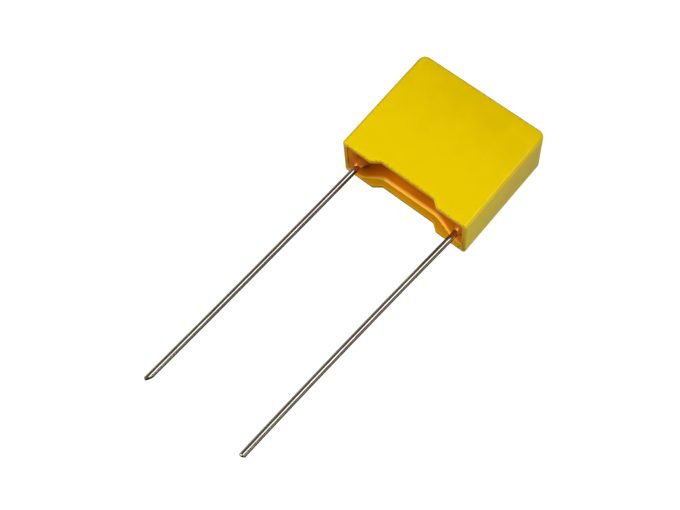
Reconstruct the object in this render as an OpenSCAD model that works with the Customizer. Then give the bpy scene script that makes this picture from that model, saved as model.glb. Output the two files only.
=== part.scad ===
// Box-type film capacitor with two wire leads, lying on one wide face.
// X runs along the row of leads, the leads point to -Y, and the wide face rests on Z = 0.
// The origin is the centre of the resting face.

/* [Case] */
// Length of the case along the row of leads
case_l = 13; // [10.5:0.25:18]
// Height of the case from the tips of its feet to its closed end
case_h = 11; // [9:0.25:14]
// Thickness of the case between its two wide faces
case_t = 5; // [4.5:0.25:7]
// Wall behind each wide face
face_wall = 0.5; // [0.4:0.05:0.6]
// Wall at each narrow end
end_wall = 0.4; // [0.3:0.05:0.5]
// Wall at the closed end
top_wall = 0.5; // [0.4:0.05:0.8]
// Rounding of the outer edges
edge_r = 0.3; // [0.2:0.05:0.6]
// Rounding of the two corners at the closed end
corner_r = 0.75; // [0.65:0.05:1.2]
// Rounding of the long corners inside the case
cavity_r = 0.2; // [0.1:0.05:0.4]

/* [Stand-off rim] */
// Height of the notch between the feet of each wide face
notch_rise = 0.55; // [0.3:0.05:0.8]
// Width of the level part of the notch
notch_w = 5.5; // [4:0.25:6.5]
// Run of the shoulder from the notch down to each foot
notch_run = 0.7; // [0.5:0.05:1]
// Rounding of the shoulder's corners
notch_r = 0.4; // [0.2:0.05:0.5]

/* [Potting resin] */
// Depth of the fill line below the tips of the feet
fill_gap = 0.12; // [0.05:0.01:0.3]
// Depth of the trough below the tips of the feet, along its middle
trough_depth = 1.6; // [1.2:0.1:2]
// Radius of the trough's hollow section and of its two round ends
trough_r = 4.25; // [3.5:0.25:6]
// Distance from each end of the case to the trough's straight middle
trough_inset = 4.1; // [3.5:0.1:4.5]
// Height that the resin climbs up each wire
climb_h = 0.3; // [0.1:0.05:0.5]
// Radius of the hollow flank of the climb
climb_r = 1.2; // [0.8:0.1:2]
// Reach of the climb out from the wire
climb_reach = 0.35; // [0.25:0.05:0.5]
// Resin between the roll and the closed end or the trough
end_cover = 0.65; // [0.4:0.05:0.8]
// Resin between the flat sides of the roll and the wide walls
side_cover = 0.4; // [0.2:0.05:0.6]

/* [Leads] */
// Distance from the left end of the case to the centre of the left lead
left_inset = 1.65; // [1:0.05:2.5]
// Distance from the right end of the case to the centre of the right lead
right_inset = 1.1; // [1:0.05:2.5]
// Diameter of the wire
lead_d = 0.55; // [0.5:0.05:0.7]
// Reach of the left lead past the tips of the feet
left_reach = 25.35; // [5:0.05:35]
// Reach of the right lead past the tips of the feet
right_reach = 25.25; // [5:0.05:35]
// Lean of the left lead towards -X, in degrees
left_lean = 2.65; // [-5:0.05:5]
// Lean of the right lead towards -X, in degrees
right_lean = 3.05; // [-5:0.05:5]
// Distance of the bend in each lead below the tips of the feet
bend_drop = 0.3; // [0.2:0.1:2]
// Swelling of the wire round the bend
bend_swell = 0.005; // [0.005:0.005:0.02]
// Angle of the left tip's bevel to the wire, in degrees
left_bevel = 28; // [20:1:80]
// Angle of the right tip's bevel to the wire, in degrees
right_bevel = 60; // [20:1:80]
// Depth of the bevel across the wire
bevel_depth = 0.35; // [0.1:0.05:0.45]

/* [Film roll] */
// Thickness of the metal sprayed on each end of the roll
contact_t = 0.3; // [0.2:0.05:0.5]
// Length of wire that lies along the sprayed metal
weld_l = 5; // [2:0.25:5]
// Depth to which the wire is welded into the sprayed metal
weld_seat = 0.03; // [0.02:0.01:0.1]

/* [Hidden] */
$fn = 96;
// Margin by which a cutter passes the faces that it cuts
past = 1;
cavity_l = case_l - 2 * end_wall;
cavity_t = case_t - 2 * face_wall;
cavity_end = case_h - top_wall;
lead_r = lead_d / 2;
left_x = left_inset - case_l / 2;
right_x = case_l / 2 - right_inset;
trough_l = case_l - 2 * trough_inset;
trough_axis = trough_depth - trough_r;
climb_foot = sqrt(climb_r ^ 2 - (climb_r - climb_reach) ^ 2);
// The roll lies between the trough and the closed end, and between the two leads
roll_start = trough_depth + end_cover;
roll_h = cavity_end - end_cover - roll_start;
roll_t = cavity_t - 2 * side_cover;
left_face = left_x + lead_r - weld_seat;
right_face = right_x - lead_r + weld_seat;
weld_end = roll_start + min(weld_l, roll_h);

// Depth of the resin's free face where a wire at X leaves it: in the trough or at the fill line
function free_face(x) =
    let (past_middle = max(0, abs(x) - trough_l / 2))
    max(fill_gap, trough_axis + sqrt(max(0, trough_r ^ 2 - past_middle ^ 2)));

// Puts a piece drawn in the case's own frame, feet at Y = 0 and mid-plane at Z = 0, on the resting face
module lay() {
    translate([0, -case_h / 2, case_t / 2]) children();
}

// Extrudes a profile drawn in X and Z along +Y
module along_y(length) {
    rotate([90, 0, 0]) mirror([0, 0, 1]) linear_extrude(length) children();
}

// Extrudes a profile drawn in Y and Z along X
module along_x(from, to) {
    translate([from, 0, 0]) rotate([90, 0, 90]) linear_extrude(to - from) children();
}

module rounded_rect(w, h, r) {
    square([w - 2 * r, h], center = true);
    square([w, h - 2 * r], center = true);
    for (x = [-1, 1], y = [-1, 1]) translate([x * (w / 2 - r), y * (h / 2 - r)]) circle(r);
}

// Section of the case across its closed end: square at the feet, rounded at the closed edge
module closed_edge_section() {
    translate([0, -case_t / 2]) square([case_h - edge_r, case_t]);
    translate([0, edge_r - case_t / 2]) square([case_h, case_t - 2 * edge_r]);
    for (z = [-1, 1]) translate([case_h - edge_r, z * (case_t / 2 - edge_r)]) circle(edge_r);
}

// Rounded disc that turns the wide faces and the long edges round one corner of the closed end
module corner_disc() {
    rotate_extrude() intersection() {
        rounded_rect(2 * corner_r, case_t, edge_r);
        translate([0, -case_t / 2]) square([corner_r, case_t]);
    }
}

module case_block() {
    along_y(case_h - corner_r) rounded_rect(case_l, case_t, edge_r);
    corner_x = case_l / 2 - corner_r;
    along_x(-corner_x, corner_x) closed_edge_section();
    for (x = [-corner_x, corner_x]) translate([x, case_h - corner_r, 0]) corner_disc();
}

// Inside of the case, from a given depth to the closed end
module cavity(from) {
    translate([0, from, 0]) along_y(cavity_end - from) rounded_rect(cavity_l, cavity_t, cavity_r);
}

// Outline of the gap under each wide face: level in the middle, with a rounded shoulder at each foot
module notch_outline() {
    level = notch_w / 2;
    foot = level + notch_run;
    below = 2 * notch_r + past;
    offset(r = -notch_r) offset(r = 2 * notch_r) offset(r = -notch_r) polygon([
        [-case_l, -below], [-case_l, 0], [-foot, 0], [-level, notch_rise],
        [level, notch_rise], [foot, 0], [case_l, 0], [case_l, -below],
    ]);
}

module case() {
    color([0.88, 0.76, 0.03]) lay() difference() {
        case_block();
        cavity(-past);
        linear_extrude(case_t + 2 * past, center = true) notch_outline();
    }
}

// Hollow left by the resin as it sinks in the middle and climbs towards the ends
module trough() {
    translate([0, trough_axis, 0]) rotate([0, 90, 0]) rotate_extrude() intersection() {
        union() {
            square([2 * trough_r, trough_l], center = true);
            for (x = [-1, 1]) translate([0, x * trough_l / 2]) circle(trough_r);
        }
        translate([0, -trough_r - trough_l / 2]) square([trough_r, 2 * trough_r + trough_l]);
    }
}

// Resin drawn up round the wire at X, with a hollow flank
module climb(x) {
    translate([x, free_face(x) - climb_h, 0]) rotate([-90, 0, 0]) rotate_extrude() difference() {
        square([lead_r + climb_reach, climb_foot]);
        translate([lead_r + climb_r, 0]) circle(climb_r);
    }
}

// Straight part of the lead at X, from the bend below the feet to the end of its weld
module root_wire(x) {
    translate([x, -bend_drop, 0]) along_y(bend_drop + weld_end) circle(lead_r);
}

// Section of the pressed roll: flat sides and round folds
module roll_section() {
    fold = roll_t / 2;
    translate([roll_start + fold, -fold]) square([roll_h - roll_t, roll_t]);
    for (y = [fold, roll_h - fold]) translate([roll_start + y, 0]) circle(fold);
}

module potting_resin() {
    color([0.68, 0.38, 0.05]) lay() difference() {
        union() {
            difference() {
                cavity(fill_gap);
                trough();
            }
            intersection() {
                cavity(0);
                union() for (x = [left_x, right_x]) climb(x);
            }
        }
        for (x = [left_x, right_x]) root_wire(x);
        along_x(left_face, right_face) roll_section();
    }
}

module film_winding() {
    color([0.78, 0.79, 0.8]) lay() along_x(left_face + contact_t, right_face - contact_t) roll_section();
}

// Plate of sprayed metal from one X to another, with the seat of the wire welded to it
module contact(from, to, wire_x) {
    color([0.62, 0.62, 0.6]) lay() difference() {
        along_x(from, to) roll_section();
        root_wire(wire_x);
    }
}

module contact_left() {
    contact(left_face, left_face + contact_t, left_x);
}

module contact_right() {
    contact(right_face - contact_t, right_face, right_x);
}

// Wedge that the cutter takes off the tip of a wire that ends at Y = 0 and comes from +Y
module tip_cut(bevel) {
    translate([lead_r - bevel_depth, 0, 0]) rotate(-bevel) translate([0, -past, -lead_d])
        cube([lead_d + past, lead_d / sin(bevel) + 2 * past, 2 * lead_d]);
}

// A lead is straight through the resin, bends once below the feet and runs on straight to its cut tip
module lead(x, reach, lean, bevel) {
    run = (reach - bend_drop) / cos(lean);
    color([0.78, 0.75, 0.68]) lay() {
        root_wire(x);
        translate([x, -bend_drop, 0]) {
            sphere(lead_r + bend_swell);
            rotate(-lean) translate([0, -run, 0]) difference() {
                along_y(run) circle(lead_r);
                tip_cut(bevel);
            }
        }
    }
}

module lead_left() {
    lead(left_x, left_reach, left_lean, left_bevel);
}

module lead_right() {
    lead(right_x, right_reach, right_lean, right_bevel);
}

case();
potting_resin();
film_winding();
contact_left();
contact_right();
lead_left();
lead_right();
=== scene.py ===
import math

import bmesh
import bpy
from mathutils import Matrix, Vector


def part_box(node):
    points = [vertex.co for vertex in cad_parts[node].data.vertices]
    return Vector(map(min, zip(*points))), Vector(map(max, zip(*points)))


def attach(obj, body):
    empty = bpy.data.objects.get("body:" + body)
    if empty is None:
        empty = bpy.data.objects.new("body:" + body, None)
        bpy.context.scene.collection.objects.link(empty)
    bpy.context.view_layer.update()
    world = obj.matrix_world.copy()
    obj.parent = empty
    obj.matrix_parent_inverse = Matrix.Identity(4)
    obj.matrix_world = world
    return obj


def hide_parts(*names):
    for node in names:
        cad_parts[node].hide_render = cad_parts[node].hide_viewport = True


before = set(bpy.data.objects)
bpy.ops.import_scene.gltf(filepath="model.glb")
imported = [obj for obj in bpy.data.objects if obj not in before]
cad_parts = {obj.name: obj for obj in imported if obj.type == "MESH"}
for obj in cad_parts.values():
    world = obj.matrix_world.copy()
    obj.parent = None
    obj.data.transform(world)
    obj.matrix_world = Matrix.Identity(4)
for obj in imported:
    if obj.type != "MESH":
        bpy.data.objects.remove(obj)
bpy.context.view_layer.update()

# Film winding: two plastic films with a metal skin, wound together and pressed flat.
# Its outer turn is smooth and silvery, with faint creases along the roll.
mm = 0.001
crease_stretch = (6, 0.8, 1.5)
crease_depth = 0.03 * mm
film_rough = 0.22
crease_rough = 0.2


def tint(red, green, blue):
    """Colour as a shader reads it, from the 0 to 255 values that a screen shows."""
    parts = [value / 255 for value in (red, green, blue)]
    return (*[p / 12.92 if p <= 0.04045 else ((p + 0.055) / 1.055) ** 2.4 for p in parts], 1.0)


class Socket:
    """Output of a shader node. Sums with it add Math nodes to the finish that it belongs to."""

    def __init__(self, finish, source):
        self.finish = finish
        self.source = source

    def math(self, operation, *terms):
        return self.finish.node("Math", {"operation": operation}, dict(enumerate(terms)))

    def __add__(self, other):
        return self.math("ADD", self, other)

    def __radd__(self, other):
        return self.math("ADD", other, self)

    def __sub__(self, other):
        return self.math("SUBTRACT", self, other)

    def __rsub__(self, other):
        return self.math("SUBTRACT", other, self)

    def __mul__(self, other):
        return self.math("MULTIPLY", self, other)

    def __rmul__(self, other):
        return self.math("MULTIPLY", other, self)


class Finish:
    """Node tree of one material, or of the world, while it is put together."""

    def __init__(self, owner):
        owner.use_nodes = True
        self.owner = owner
        self.tree = owner.node_tree
        self.tree.nodes.clear()

    def node(self, kind, settings, sockets, out=0):
        """Adds one node: its settings come first, then the values or links of its sockets."""
        node = self.tree.nodes.new("ShaderNode" + kind)
        for name, value in settings.items():
            setattr(node, name, value)
        for name, value in sockets.items():
            if isinstance(value, Socket):
                self.tree.links.new(value.source, node.inputs[name])
            else:
                node.inputs[name].default_value = value
        return Socket(self, node.outputs[out]) if node.outputs else None

    def place(self, stretch=(1, 1, 1)):
        """Place on the piece in millimetres, for a pattern that the stretch draws out along each axis."""
        at = self.node("TexCoord", {}, {}, "Object")
        scale = [1 / (mm * s) for s in stretch]
        return self.node("VectorMath", {"operation": "MULTIPLY"}, {0: at, 1: scale})

    def along(self, axis):
        """Place along one axis in millimetres."""
        return self.node("SeparateXYZ", {}, {0: self.place()}, axis)

    def mark(self, name):
        """Value that the mesh holds under this name at each of its points."""
        return self.node("Attribute", {"attribute_name": name}, {}, "Fac")

    def noise(self, at, scale=1.0, detail=3.0, roughness=0.55):
        sockets = {"Vector": at, "Scale": scale, "Detail": detail, "Roughness": roughness}
        return self.node("TexNoise", {}, sockets)

    def step(self, value, start, end):
        """0 below start, 1 above end and smooth in between."""
        sockets = {"Value": value, "From Min": start, "From Max": end}
        return self.node("MapRange", {"interpolation_type": "SMOOTHSTEP"}, sockets)

    def blend(self, share, first, second):
        """The first colour at a share of 0, the second at 1."""
        return self.node("Mix", {"data_type": "RGBA"}, {0: share, 6: first, 7: second}, 2)

    def bump(self, height, depth, strength=1.0):
        return self.node("Bump", {}, {"Height": height, "Distance": depth, "Strength": strength})

    def surface(self, sockets):
        """Closes the material with one principled surface and returns it."""
        shader = self.node("BsdfPrincipled", {}, sockets)
        self.node("OutputMaterial", {}, {"Surface": shader})
        return self.owner


film_silver = tint(205, 207, 210)
film_shade = tint(150, 154, 160)

film = Finish(bpy.data.materials.new("metallised_film"))
creases = film.noise(film.place(crease_stretch), scale=1.6)
cloud = film.step(film.noise(film.place(), scale=0.5), start=0.35, end=0.7)
metallised_film = film.surface({
    "Base Color": film.blend(cloud, film_silver, film_shade),
    "Metallic": 0.9,
    "Roughness": film_rough + crease_rough * creases,
    "Normal": film.bump(creases, crease_depth),
})
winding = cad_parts["film_winding"]
winding.data.materials.clear()
winding.data.materials.append(metallised_film)

# Contacts: zinc sprayed on both ends of the winding, where it joins the edges of the films.
# The metal lands as molten drops, so it is dull grey and grainy, with darker pores.
zinc_grey = tint(158, 159, 158)
zinc_pore = tint(92, 92, 93)
zinc_rough = 0.5
grain_rough = 0.25
grain_depth = 0.04 * mm
pore_share = 0.5

spray = Finish(bpy.data.materials.new("sprayed_zinc"))
grain = spray.noise(spray.place(), scale=9.0, detail=6.0, roughness=0.7)
pores = spray.step(spray.noise(spray.place(), scale=5.0), start=0.55, end=0.7)
sprayed_zinc = spray.surface({
    "Base Color": spray.blend(pores, zinc_grey, zinc_pore),
    "Metallic": 0.85,
    "Roughness": zinc_rough + grain_rough * grain,
    "Normal": spray.bump(grain - pore_share * pores, grain_depth),
})
for side in ("contact_left", "contact_right"):
    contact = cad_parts[side]
    contact.data.materials.clear()
    contact.data.materials.append(sprayed_zinc)

# Leads: tinned copper-clad steel wire, welded to the contacts and bent a little below the feet.
# Drawing leaves fine lines along the wire, and the lower half of the wire is painted darker, a painted
# shade for its dark lower flank. The cutters leave a bevelled tip with a slightly rounded edge.
wire_r = 0.275 * mm
wire_sides = 40
bend_drop = 0.3 * mm
bend_swell = 0.005 * mm
root_step = 1.5 * mm
left_lean = math.radians(2.65)
right_lean = math.radians(3.05)
left_bow = 0.045 * mm
right_bow = -0.09 * mm
run_steps = 24
left_bevel = math.radians(28)
right_bevel = math.radians(60)
bevel_depth = 0.35 * mm
sharp_tip = math.radians(35)
tip_length = 1.5 * mm
tip_shares = (1, 0.6, 0.35, 0.2, 0.14, 0.1, 0.065, 0.035, 0.015, 0.005, 0)
nose_length = 0.12 * mm
left_nose = 0.4
right_nose = 0.6

case_low, case_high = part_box("case")
feet_y = case_low.y
mid_z = (case_low.z + case_high.z) / 2

tin_bright = tint(186, 179, 164)
tin_dull = tint(160, 152, 138)
tin_painted_shade = tint(82, 75, 60)
tin_edge = tint(34, 26, 16)
resin_film = tint(186, 118, 52)
line_stretch = (0.05, 6, 0.05)
line_depth = 0.002 * mm
line_share = 0.3
smear_stretch = (0.6, 2.5, 0.6)
smear_rough = 0.1
wire_rough = 0.1
lower_from = 0.21 * mm
lower_to = 0.13 * mm
film_whole = 0.15 * mm
film_gone = 0.55 * mm
film_wander = 0.3
film_cover = 0.2

wire = Finish(bpy.data.materials.new("tinned_wire"))
die_lines = wire.noise(wire.place(line_stretch), detail=4.0)
smears = wire.noise(wire.place(smear_stretch))
creep = wire.step(
    wire.along("Y") + film_wander * smears, (feet_y - film_gone) / mm, (feet_y - film_whole) / mm,
)
dulled = wire.step(smears + line_share * die_lines, start=0.45, end=0.85)
# Painted shade: the lower half of the wire gets a darker tin colour, for its dark lower flank.
upper = wire.step(wire.along("Z"), (mid_z + lower_to) / mm, (mid_z + lower_from) / mm)
tin = wire.blend(1 - upper, wire.blend(dulled, tin_bright, tin_dull), tin_painted_shade)
tinned_wire = wire.surface({
    "Base Color": wire.blend(creep, tin, resin_film),
    "Metallic": 1 - film_cover * creep,
    "Roughness": wire_rough + smear_rough * smears,
    "Specular Tint": tin_edge,
    "Normal": wire.bump(die_lines, line_depth, strength=0.4),
})


def mesh_piece(name, points, faces, material):
    """New piece on the root body, smooth shaded, from its points and faces."""
    mesh = bpy.data.meshes.new(name)
    mesh.from_pydata(points, [], faces)
    piece = bpy.data.objects.new(name, mesh)
    bpy.context.scene.collection.objects.link(piece)
    mesh.materials.append(material)
    mesh.shade_smooth()
    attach(piece, "root")
    return piece


def loft(rings):
    """Points and faces of a closed solid through rings of equal count, with flat caps."""
    count = len(rings[0])
    points = [point for ring in rings for point in ring]
    faces = []
    for ring in range(len(rings) - 1):
        for k in range(count):
            here = ring * count + k
            turn = ring * count + (k + 1) % count
            faces.append((here, turn, turn + count, here + count))
    faces.append(tuple(reversed(range(count))))
    last = (len(rings) - 1) * count
    faces.append(tuple(range(last, last + count)))
    return points, faces


def lead(node_name, lean, bow, bevel, nose):
    """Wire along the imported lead: straight root, one bend, slightly bowed run and cut tip."""
    low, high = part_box(node_name)
    root_x = high.x - wire_r - bend_swell
    bend_y = feet_y - bend_drop
    down = Vector((-math.sin(lean), -math.cos(lean), 0))
    across = Vector((-down.y, down.x, 0))
    run = (bend_y - low.y) / math.cos(lean)
    tip = Vector((root_x, bend_y, mid_z)) + down * run
    stops = [(Vector((root_x, y, mid_z)), wire_r) for y in (high.y, feet_y + root_step, feet_y)]
    before_tip = [run + (tip_length - run) * k / run_steps for k in range(run_steps)]
    before_tip += [tip_length * share for share in tip_shares]
    for d in before_tip:
        rounding = nose * max(0, 1 - d / nose_length) ** 2
        place = tip - down * d + across * (bow * 4 * d * (run - d) / run ** 2)
        stops.append((place, wire_r * math.sqrt(1 - rounding)))
    turns = [2 * math.pi * k / wire_sides for k in range(wire_sides)]
    spokes = [across * math.cos(a) + Vector((0, 0, math.sin(a))) for a in turns]
    rings = [[place + radius * spoke for spoke in spokes] for place, radius in stops]
    piece = mesh_piece(node_name + "_wire", *loft(rings), tinned_wire)
    shaped = bmesh.new()
    shaped.from_mesh(piece.data)
    cut_through = tip + across * (wire_r - bevel_depth)
    cut_normal = across * math.cos(bevel) + down * math.sin(bevel)
    parts = shaped.verts[:] + shaped.edges[:] + shaped.faces[:]
    bmesh.ops.bisect_plane(
        shaped, geom=parts, plane_co=cut_through, plane_no=cut_normal, clear_outer=True,
    )
    bmesh.ops.holes_fill(shaped, edges=shaped.edges)
    bmesh.ops.recalc_face_normals(shaped, faces=shaped.faces)
    shaped.to_mesh(piece.data)
    shaped.free()
    piece.data.set_sharp_from_angle(angle=sharp_tip)
    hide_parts(node_name)


lead("lead_left", left_lean, left_bow, left_bevel, left_nose)
lead("lead_right", right_lean, right_bow, right_bevel, right_nose)

# Case: a deep tub moulded in yellow filled plastic, open at the feet. Both wide walls are notched
# between the feet, so that the part stands off the board, and every edge is a little rounded.
edge_r = 0.3 * mm
corner_r = 0.75 * mm
face_wall = 0.5 * mm
end_wall = 0.4 * mm
top_wall = 0.5 * mm
cavity_r = 0.2 * mm
notch_rise = 0.55 * mm
notch_half = 2.75 * mm
notch_run = 0.7 * mm
notch_r = 0.4 * mm
rim_outer_r = 0.18 * mm
rim_inner_r = 0.06 * mm
rim_depth = 0.3 * mm
rim_stretch = 0.35 * mm
closed_share = 0.35
corner_steps = 8
end_steps = 12
notch_steps = 6
closing_steps = 14
outer_steps = 6
inner_steps = 4
outer_mark = 0.45
inner_mark = 0.55
half_l = case_high.x
half_t = case_high.z - mid_z
case_h = case_high.y - feet_y
cavity_half_l = half_l - end_wall
cavity_half_t = half_t - face_wall
cavity_h = case_h - top_wall
straight = cavity_half_l - cavity_r
outside_depths = [depth * mm for depth in (9, 8, 7, 6, 5, 4, 3, 2.2, 1.6, 1.2)]
inside_depths = [1.2 * mm, 2 * mm, 5 * mm, cavity_h]


def filleted(corners, radius, steps):
    """Points along a line of straight stretches, with an arc at each inner corner."""
    points = [corners[0]]
    for before, corner, after in zip(corners, corners[1:], corners[2:]):
        back = (before - corner).normalized()
        ahead = (after - corner).normalized()
        half = back.angle(ahead) / 2
        centre = corner + (back + ahead).normalized() * (radius / math.sin(half))
        reach = radius / math.tan(half)
        start = corner + back * reach - centre
        end = corner + ahead * reach - centre
        turn = math.atan2(start.cross(end).z, start.dot(end))
        points += [centre + Matrix.Rotation(turn * k / steps, 3, "Z") @ start for k in range(steps + 1)]
    return points + [corners[-1]]


def divided(points, longest):
    """The same line with its long stretches cut into equal short ones."""
    fine = [points[0]]
    for start, end in zip(points, points[1:]):
        count = max(1, math.ceil((end - start).length / longest))
        fine += [start.lerp(end, k / count) for k in range(1, count + 1)]
    return fine


half_rim = [(notch_half, notch_rise), (notch_half + notch_run, 0), (straight, 0)]
rim_corners = [(-x, depth) for x, depth in reversed(half_rim)] + half_rim
rim_curve = filleted([Vector((x, depth, 0)) for x, depth in rim_corners], notch_r, notch_steps)
rim_line = divided(rim_curve, rim_stretch)
rim_flank = []
for k, point in enumerate(rim_line):
    heading = rim_line[min(k + 1, len(rim_line) - 1)] - rim_line[max(k - 1, 0)]
    rim_flank.append(Vector((-heading.y, heading.x, 0)).normalized())
level_rim = [(Vector((0, 0, 0)), Vector((0, 1, 0)))] * (2 * corner_steps + end_steps + 1)
wide_rim = list(zip(rim_line, rim_flank))
rim = wide_rim + level_rim + wide_rim[::-1] + level_rim


def outline(length, thick, corner):
    """Section of the tub round its long axis, as X and Z places, with the same count at every size."""
    squeeze = min(1, (length - corner) / straight)
    wide = [point.x * squeeze for point in rim_line]
    reach = thick - corner
    turns = [math.pi / 2 * k / corner_steps for k in range(corner_steps + 1)]
    arc = [(length - corner + corner * math.sin(a), reach + corner * math.cos(a)) for a in turns]
    flat = [(length, reach * (1 - 2 * k / end_steps)) for k in range(1, end_steps)]
    right = arc + flat + [(x, -z) for x, z in reversed(arc)]
    left = [(-x, -z) for x, z in right]
    top = [(x, thick) for x in wide]
    bottom = [(x, -thick) for x in reversed(wide)]
    return top + right + bottom + left


def level_ring(section, depth):
    """Ring at one depth from the tips of the feet."""
    return [Vector((x, feet_y + depth, mid_z + z)) for x, z in section]


def rim_ring(section, inward):
    """Ring that follows the notched rim at a distance inward from its tips."""
    ring = []
    for (x, z), (tip, flank) in zip(section, rim):
        ring.append(Vector((x + flank.x * inward, feet_y + tip.y + flank.y * inward, mid_z + z)))
    return ring


def quarter(radius, depth):
    """Reach of a rounded edge of this radius at a depth below its crown."""
    return math.sqrt(max(0.0, radius ** 2 - (radius - min(depth, radius)) ** 2))


rings = []
walls = []


def add_ring(ring, wall_mark):
    """One more ring of the tub, marked 0 outside, 1 inside and in between across the rim."""
    rings.append(ring)
    walls.append(wall_mark)


for k in range(closing_steps + 1):
    depth = corner_r * (1 - math.cos(math.pi / 2 * k / closing_steps))
    length = half_l - corner_r + quarter(corner_r, depth)
    thick = half_t - edge_r + quarter(edge_r, depth)
    corner = edge_r * (closed_share + (1 - closed_share) * quarter(edge_r, depth) / edge_r)
    add_ring(level_ring(outline(length, thick, corner), case_h - depth), 0.0)
outside = outline(half_l, half_t, edge_r)
for depth in outside_depths:
    add_ring(level_ring(outside, depth), 0.0)
add_ring(rim_ring(outside, rim_depth), 0.0)
for k in range(outer_steps + 1):
    turn = math.pi / 2 * k / outer_steps
    inset = rim_outer_r * (1 - math.cos(turn))
    section = outline(half_l - inset, half_t - inset, edge_r - inset)
    add_ring(rim_ring(section, rim_outer_r * (1 - math.sin(turn))), outer_mark * k / outer_steps)
for k in range(inner_steps + 1):
    turn = math.pi / 2 * k / inner_steps
    inset = rim_inner_r * (1 - math.sin(turn))
    section = outline(cavity_half_l + inset, cavity_half_t + inset, cavity_r + inset)
    wall_mark = inner_mark + (1 - inner_mark) * k / inner_steps
    add_ring(rim_ring(section, rim_inner_r * (1 - math.cos(turn))), wall_mark)
inside = outline(cavity_half_l, cavity_half_t, cavity_r)
add_ring(rim_ring(inside, rim_depth), 1.0)
for depth in inside_depths:
    add_ring(level_ring(inside, depth), 1.0)

case_yellow = tint(241, 207, 1)
case_shade = tint(222, 188, 1)
edge_painted_shade = tint(178, 150, 16)
rim_upper_shade = tint(190, 160, 10)
rim_shade = tint(74, 56, 4)
rim_tan = tint(210, 154, 36)
rim_brown = tint(190, 136, 16)
wall_amber = tint(220, 161, 4)
mottle_share = 0.4
painted_shade_per_mm = 0.05
case_rough = 0.28
skin_rough = 0.08
skin_depth = 0.003 * mm
edge_polish = 0.12
edge_glint = 0.14
edge_coat = 0.45
left_edge_shade_share = 0.7
glow_reach = (0.8, 0.55, 0.08)

plastic = Finish(bpy.data.materials.new("yellow_case_plastic"))
wall = plastic.mark("wall")
edge = plastic.mark("edge")
under = plastic.mark("under")
mottle = plastic.noise(plastic.place(), scale=0.35)
skin = plastic.noise(plastic.place(), scale=14.0, detail=4.0)
shade_breaks = plastic.step(plastic.noise(plastic.place(), scale=5.0), start=0.35, end=0.75)
# Random mottle, plus a painted shade that darkens the wide face towards the closed end.
mottle_and_painted_shade = plastic.step(mottle_share * mottle + painted_shade_per_mm * plastic.along("Y"), start=0.05, end=0.6)
mottled_and_shaded = plastic.blend(mottle_and_painted_shade, case_yellow, case_shade)
# Painted shade: the rounded edges at the left end are painted olive, as if less light reached them.
outer = plastic.blend(plastic.mark("left_edge_shade"), mottled_and_shaded, edge_painted_shade)
# Painted shade: a dark line is painted along the rim's outer edge, olive above and darkest at the bottom,
# broken into dashes.
rim_edge_shade = plastic.blend(under, rim_upper_shade, rim_shade)
rim_face = plastic.blend(plastic.step(under, start=0.05, end=0.4), rim_tan, rim_brown)
lined = plastic.blend(plastic.step(wall, start=0.02, end=0.14) * shade_breaks, outer, rim_edge_shade)
rimmed = plastic.blend(plastic.step(wall, start=0.3, end=0.45), lined, rim_face)
yellow_case_plastic = plastic.surface({
    "Base Color": plastic.blend(plastic.step(wall, start=0.5, end=0.65), rimmed, wall_amber),
    "Metallic": edge_glint * edge,
    "Roughness": case_rough + skin_rough * skin - edge_polish * edge,
    "Specular IOR Level": 0.014,
    "Coat Weight": edge_coat * edge,
    "Coat Roughness": 0.1,
    "Subsurface Weight": 0.5,
    "Subsurface Radius": glow_reach,
    "Subsurface Scale": mm,
    "Normal": plastic.bump(skin, skin_depth, strength=0.4),
})


def mark_points(piece, marks):
    """Stores on the points of a piece the named values that its material reads."""
    for name, values in marks.items():
        piece.data.attributes.new(name, "FLOAT", "POINT").data.foreach_set("value", values)


case = mesh_piece("case_moulding", *loft(rings), yellow_case_plastic)
round_edge = [math.sin(math.pi * k / corner_steps) for k in range(corner_steps + 1)]
narrow_end = round_edge + [0.0] * (end_steps - 1) + round_edge
edges = ([0.0] * len(rim_line) + narrow_end) * 2
downward = [(half_t - z) / (2 * half_t) for _, z in outside]
# Painted shade, on the rounded edges at the left end only.
left_shaded_edges = [left_edge_shade_share * value if x < 0 else 0.0 for value, (x, _) in zip(edges, outside)]
mark_points(case, {
    "wall": [value for value in walls for _ in edges],
    "edge": edges * len(walls),
    "under": downward * len(walls),
    "left_edge_shade": left_shaded_edges * len(walls),
})
weighted = case.modifiers.new("flat_faces", "WEIGHTED_NORMAL")
weighted.weight = 100
weighted.keep_sharp = True
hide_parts("case")

# Potting resin: amber epoxy poured round the winding, which seals the open end. It wets the
# plastic and the wires, so that its free face is a smooth trough that climbs at every edge.
fill_gap = 0.12 * mm
trough_depth = 1.78 * mm
trough_tilt = 0.008
cross_r = 20 * mm
left_climb = 1.55 * mm
left_climb_from = -2.8 * mm
left_climb_to = -5.4 * mm
right_climb = 1.08 * mm
right_climb_from = 2.2 * mm
right_climb_to = 6.0 * mm
wall_climb = 0.8 * mm
wall_reach = 0.22 * mm
wire_climb = 0.6 * mm
wire_reach = 0.2 * mm
least_room = 0.02 * mm
resin_columns = 300
resin_rows = 110
sharp_resin = math.radians(60)
wire_places = [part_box(name)[1].x - wire_r - bend_swell for name in ("lead_left", "lead_right")]


def smooth(value, start, end):
    """0 at the start, 1 at the end and smooth in between."""
    share = min(1.0, max(0.0, (value - start) / (end - start)))
    return share * share * (3 - 2 * share)


def to_cavity_wall(x, z):
    """Distance to the nearest wall of the cavity."""
    return min(cavity_half_l - abs(x), cavity_half_t - abs(z))


def to_wire(x, z):
    """Distance to the skin of the nearer wire, and 0 inside it."""
    return max(0.0, min(math.hypot(x - wire_x, z) for wire_x in wire_places) - wire_r)


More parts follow.
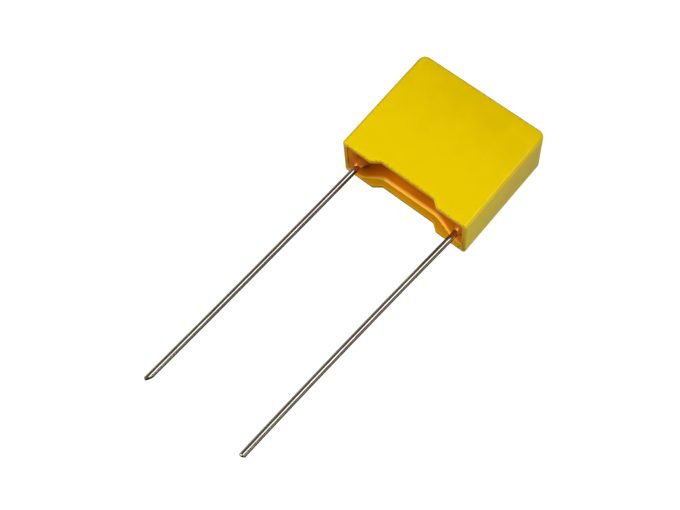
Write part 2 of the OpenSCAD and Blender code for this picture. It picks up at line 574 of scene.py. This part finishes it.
def resin_depth(x, z):
    """Depth of the resin's free face below the tips of the feet."""
    depth = trough_depth + trough_tilt * x - z * z / (2 * cross_r)
    depth -= left_climb * smooth(x, left_climb_from, left_climb_to)
    depth -= right_climb * smooth(x, right_climb_from, right_climb_to)
    climb = wall_climb * math.exp(-to_cavity_wall(x, z) / wall_reach)
    room = max(least_room, depth - fill_gap)
    collar = wire_climb * math.exp(-to_wire(x, z) / wire_reach)
    return fill_gap + room * math.exp(-climb / room) - collar


def spread(half, count):
    """Places from one wall to the other, closer together near the walls."""
    return [half * math.sin(math.pi / 2 * (2 * k / count - 1)) for k in range(count + 1)]


def in_corner(x, z):
    """Draws a place near a corner of the cavity in to its rounding."""
    over_x = abs(x) - (cavity_half_l - cavity_r)
    over_z = abs(z) - (cavity_half_t - cavity_r)
    if over_x <= 0 or over_z <= 0:
        return x, z
    pull = max(over_x, over_z) / math.hypot(over_x, over_z)
    new_x = cavity_half_l - cavity_r + over_x * pull
    new_z = cavity_half_t - cavity_r + over_z * pull
    return math.copysign(new_x, x), math.copysign(new_z, z)


resin_points = []
columns = spread(cavity_half_l, resin_columns)
rows = spread(cavity_half_t, resin_rows)
for x in columns:
    for z in rows:
        at_x, at_z = in_corner(x, z)
        resin_points.append(Vector((at_x, feet_y + resin_depth(at_x, at_z), mid_z + at_z)))
width = len(rows)
resin_faces = []
for i in range(resin_columns):
    for j in range(resin_rows):
        here = i * width + j
        resin_faces.append((here, here + width, here + width + 1, here + 1))
edge_loop = [i * width for i in range(resin_columns + 1)]
edge_loop += [resin_columns * width + j for j in range(1, width)]
edge_loop += [i * width + width - 1 for i in reversed(range(resin_columns))]
edge_loop += reversed(range(1, width - 1))
back_start = len(resin_points)
resin_points += [Vector((resin_points[k].x, feet_y + cavity_h, resin_points[k].z)) for k in edge_loop]
for k in range(len(edge_loop)):
    turn = (k + 1) % len(edge_loop)
    resin_faces.append((edge_loop[turn], edge_loop[k], back_start + k, back_start + turn))
resin_faces.append(tuple(back_start + k for k in range(len(edge_loop))))

resin_amber = tint(204, 112, 2)
resin_deep = tint(188, 94, 1)
resin_thin = tint(212, 126, 3)
resin_wire_shadow = tint(112, 46, 0)
resin_gold = tint(246, 186, 60)
collar_amber = tint(215, 140, 60)
resin_rough = 0.12
swirl_rough = 0.06
wet_glint = 0.045
wet_reach = 0.3 * mm
collar_shine = 0.4
collar_reach = 0.1 * mm
thin_from = 1.0 * mm
thin_to = 0.2 * mm
shadow_reach = 0.45 * mm
shadow_shift = 0.2 * mm
shadow_drop = 0.4 * mm

epoxy = Finish(bpy.data.materials.new("amber_epoxy"))
wet = epoxy.mark("wet")
collar = epoxy.mark("collar")
swirl = epoxy.noise(epoxy.place(), scale=0.4)
body = epoxy.blend(epoxy.step(swirl, start=0.35, end=0.75), resin_amber, resin_deep)
thinned = epoxy.blend(epoxy.mark("thin"), body, resin_thin)
# Painted shadow: the resin is painted dark beside each wire, to the lower right, where the wire's shadow
# falls.
wire_shadowed = epoxy.blend(epoxy.mark("root"), thinned, resin_wire_shadow)
amber_epoxy = epoxy.surface({
    "Base Color": epoxy.blend(collar, epoxy.blend(wet * wet, wire_shadowed, resin_gold), collar_amber),
    "Metallic": wet_glint * wet + collar_shine * collar,
    "Roughness": resin_rough + swirl_rough * swirl,
    "Specular IOR Level": 0.0015,
})
resin = mesh_piece("resin_fill", resin_points, resin_faces, amber_epoxy)
marks = {"wet": [], "root": [], "collar": [], "thin": []}
for point in resin_points:
    x = point.x
    z = point.z - mid_z
    marks["wet"].append(1 - smooth(cavity_half_t - abs(z), 0, wet_reach))
    # The painted wire shadow, moved right of and below each wire.
    marks["root"].append(math.exp(-to_wire(x - shadow_shift, z + shadow_drop) / shadow_reach))
    marks["collar"].append(math.exp(-to_wire(x, z) / collar_reach))
    marks["thin"].append(smooth(cavity_half_l - abs(x), thin_from, thin_to))
mark_points(resin, marks)
resin.data.set_sharp_from_angle(angle=sharp_resin)
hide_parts("potting_resin")

# Studio: a paper floor that shows white, a strong broad lamp above the left front, a weaker one
# above the right that draws the bright stripe along the wires, and a small one at the right.
# The camera stands where the photograph was taken from.
floor_half = 1.0
floor_grey = (0.3, 0.3, 0.3, 1.0)
floor_glow = 0.88
pure_white = (1.0, 1.0, 1.0, 1.0)
sky_grey = 0.15
horizon_low = 0.1
horizon_high = 0.3
broad_place = Vector((-0.162, -0.198, 0.252))
broad_length = 0.26
broad_width = 0.13
broad_power = 0.86
stripe_place = Vector((0.105, 0.07, 0.32))
stripe_length = 0.17
stripe_width = 0.18
stripe_power = 0.34
side_place = Vector((0.32, -0.08, 0.2))
side_size = 0.12
side_power = 0.35
sensor_width = 36
photo_width = 680
focal_pixels = 1313.2
nearest_seen = 0.01
eye = Vector((31.27, -43.42, 101.03)) * mm
aim = Vector((-0.81, -12.841, 2.5)) * mm
image_up = Vector((-0.5658, 0.7172, 0.4068))


def facing(place, target, up):
    """Turn and place of a lamp or camera that looks from its place to a target."""
    back = (place - target).normalized()
    right = up.cross(back).normalized()
    over = back.cross(right)
    turn = Matrix((right, over, back)).transposed().to_4x4()
    return Matrix.Translation(place) @ turn


def soft_lamp(name, place, length, width, power):
    """Lamp with a rectangular screen, its length level and its face to the part."""
    data = bpy.data.lights.new(name, "AREA")
    data.shape = "RECTANGLE"
    data.size = length
    data.size_y = width
    data.energy = power
    lamp = bpy.data.objects.new(name, data)
    lamp.matrix_world = facing(place, Vector((0, 0, 0)), Vector((0, 1, 0)))
    bpy.context.scene.collection.objects.link(lamp)


def shown_ray(finish):
    """1 on rays that show the background: straight to the camera, or by way of metal or glass."""
    kinds = ("Is Camera Ray", "Is Glossy Ray", "Is Transmission Ray")
    direct, mirrored, clear = [finish.node("LightPath", {}, {}, kind) for kind in kinds]
    return direct.math("MAXIMUM", direct, mirrored.math("MAXIMUM", mirrored, clear))


soft_lamp("stripe_lamp", stripe_place, stripe_length, stripe_width, stripe_power)
soft_lamp("side_lamp", side_place, side_size, side_size, side_power)
soft_lamp("broad_lamp", broad_place, broad_length, broad_width, broad_power)

paper = Finish(bpy.data.materials.new("pale_floor"))
matte = paper.node("BsdfDiffuse", {}, {"Color": floor_grey})
glow = paper.node("Emission", {}, {"Color": pure_white, "Strength": floor_glow * shown_ray(paper)})
both = paper.node("AddShader", {}, {0: matte, 1: glow})
paper.node("OutputMaterial", {}, {"Surface": both})
bpy.ops.mesh.primitive_plane_add(size=2 * floor_half, location=(0, 0, 0))
floor = bpy.context.object
floor.name = "floor"
floor.data.materials.append(paper.owner)

world = bpy.data.worlds.new("studio")
bpy.context.scene.world = world
air = Finish(world)
sky = air.node("Background", {}, {"Color": pure_white, "Strength": sky_grey})
white = air.node("Background", {}, {"Color": pure_white, "Strength": 1.0})
camera_ray = air.node("LightPath", {}, {}, "Is Camera Ray")
height = air.node("SeparateXYZ", {}, {0: air.node("TexCoord", {}, {}, "Generated")}, "Z")
low = 1 - air.step(height, horizon_low, horizon_high)
backdrop = camera_ray.math("MAXIMUM", camera_ray, low * shown_ray(air))
shown = air.node("MixShader", {}, {0: backdrop, 1: sky, 2: white})
air.node("OutputWorld", {}, {"Surface": shown})

camera_data = bpy.data.cameras.new("camera")
camera_data.sensor_width = sensor_width
camera_data.lens = focal_pixels / photo_width * sensor_width
camera_data.clip_start = nearest_seen
camera = bpy.data.objects.new("camera", camera_data)
camera.matrix_world = facing(eye, aim, image_up)
bpy.context.scene.collection.objects.link(camera)
bpy.context.scene.camera = camera
bpy.context.scene.view_settings.view_transform = "Standard"
